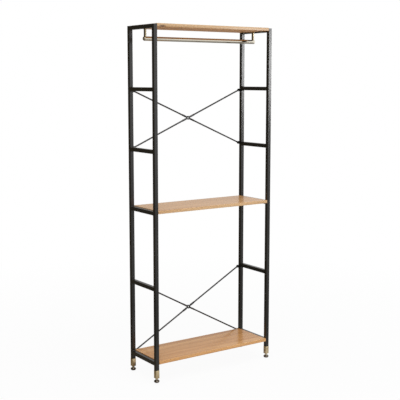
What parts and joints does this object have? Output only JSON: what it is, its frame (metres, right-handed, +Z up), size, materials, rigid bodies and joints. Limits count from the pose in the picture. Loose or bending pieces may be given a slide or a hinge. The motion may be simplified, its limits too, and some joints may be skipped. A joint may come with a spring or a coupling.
{
  "type": "open frame wardrobe",
  "caption": "Tall open wardrobe rack: square-tube ladder sides, wooden shelves, a hanging rail under the top shelf, crossed rod braces at the back and screw-in levelling feet.",
  "frame": {"origin": "on the floor, at the middle of the four feet's footprint", "axes": "+X to the right as seen from the front, +Y to the back where the braces are, +Z up"},
  "size_m": [0.743, 0.264, 1.803],
  "materials": {
    "frame_paint": "black semi-gloss powder coat",
    "shelf_wood": "light brown straight grain under satin lacquer",
    "rail_brass": "polished pale brass plating",
    "sleeve_brass": "satin brass plating",
    "foot_metal": "polished dark plating",
    "plated_steel": "yellow zinc plating",
    "black_plastic": "moulded black"
  },
  "bodies": {
    "frame": {"back_left_foot_sleeve": "sleeve_brass", "back_left_post": "frame_paint", "back_right_foot_sleeve": "sleeve_brass", "back_right_post": "frame_paint", "bottom_shelf": "shelf_wood", "bottom_shelf_tabs": "frame_paint", "brace_bolts": "frame_paint", "foot_inserts": "black_plastic", "foot_lock_nuts": "plated_steel", "front_left_foot_sleeve": "sleeve_brass", "front_left_post": "frame_paint", "front_right_foot_sleeve": "sleeve_brass", "front_right_post": "frame_paint", "hanging_rail": "rail_brass", "left_rail_leg": "rail_brass", "left_rail_plate": "rail_brass", "left_rung_1": "frame_paint", "left_rung_2": "frame_paint", "left_rung_3": "frame_paint", "left_rung_4": "frame_paint", "left_rung_5": "frame_paint", "left_rung_6": "frame_paint", "lower_brace_lugs": "frame_paint", "lower_brace_nuts": "frame_paint", "lower_brace_ring": "frame_paint", "lower_brace_rod_left_bottom": "frame_paint", "lower_brace_rod_left_top": "frame_paint", "lower_brace_rod_right_bottom": "frame_paint", "lower_brace_rod_right_top": "frame_paint", "middle_shelf": "shelf_wood", "middle_shelf_tabs": "frame_paint", "post_caps": "black_plastic", "rail_end_caps": "rail_brass", "right_rail_leg": "rail_brass", "right_rail_plate": "rail_brass", "right_rung_1": "frame_paint", "right_rung_2": "frame_paint", "right_rung_3": "frame_paint", "right_rung_4": "frame_paint", "right_rung_5": "frame_paint", "right_rung_6": "frame_paint", "top_shelf": "shelf_wood", "top_shelf_tabs": "frame_paint", "upper_brace_lugs": "frame_paint", "upper_brace_nuts": "frame_paint", "upper_brace_ring": "frame_paint", "upper_brace_rod_left_bottom": "frame_paint", "upper_brace_rod_left_top": "frame_paint", "upper_brace_rod_right_bottom": "frame_paint", "upper_brace_rod_right_top": "frame_paint", "wood_screws": "plated_steel"},
    "front_left_pad": {"front_left_foot_pad": "foot_metal"},
    "front_left_stud": {"front_left_foot_stud": "plated_steel"},
    "back_left_pad": {"back_left_foot_pad": "foot_metal"},
    "back_left_stud": {"back_left_foot_stud": "plated_steel"},
    "front_right_pad": {"front_right_foot_pad": "foot_metal"},
    "front_right_stud": {"front_right_foot_stud": "plated_steel"},
    "back_right_pad": {"back_right_foot_pad": "foot_metal"},
    "back_right_stud": {"back_right_foot_stud": "plated_steel"}
  },
  "joints": [
    {"name": "front_left_foot_height", "type": "slide", "parent": "frame", "child": "front_left_pad", "axis": [0, 0, -1], "range_m": [0, 0.012]},
    {"name": "front_left_foot_turn", "type": "hinge", "parent": "front_left_pad", "child": "front_left_stud", "pos_m": [-0.3575, -0.118, 0.01], "axis": [0, 0, -1], "range_deg": [0, 3456]},
    {"name": "back_left_foot_height", "type": "slide", "parent": "frame", "child": "back_left_pad", "axis": [0, 0, -1], "range_m": [0, 0.012]},
    {"name": "back_left_foot_turn", "type": "hinge", "parent": "back_left_pad", "child": "back_left_stud", "pos_m": [-0.3575, 0.118, 0.01], "axis": [0, 0, -1], "range_deg": [0, 3456]},
    {"name": "front_right_foot_height", "type": "slide", "parent": "frame", "child": "front_right_pad", "axis": [0, 0, -1], "range_m": [0, 0.012]},
    {"name": "front_right_foot_turn", "type": "hinge", "parent": "front_right_pad", "child": "front_right_stud", "pos_m": [0.3575, -0.118, 0.01], "axis": [0, 0, -1], "range_deg": [0, 3456]},
    {"name": "back_right_foot_height", "type": "slide", "parent": "frame", "child": "back_right_pad", "axis": [0, 0, -1], "range_m": [0, 0.012]},
    {"name": "back_right_foot_turn", "type": "hinge", "parent": "back_right_pad", "child": "back_right_stud", "pos_m": [0.3575, 0.118, 0.01], "axis": [0, 0, -1], "range_deg": [0, 3456]}
  ],
  "couplings": [
    {"joint": "front_left_foot_turn", "follows": "front_left_foot_height", "rad_per_m": 5026.5},
    {"joint": "back_left_foot_turn", "follows": "back_left_foot_height", "rad_per_m": 5026.5},
    {"joint": "front_right_foot_turn", "follows": "front_right_foot_height", "rad_per_m": 5026.5},
    {"joint": "back_right_foot_turn", "follows": "back_right_foot_height", "rad_per_m": 5026.5}
  ]
}
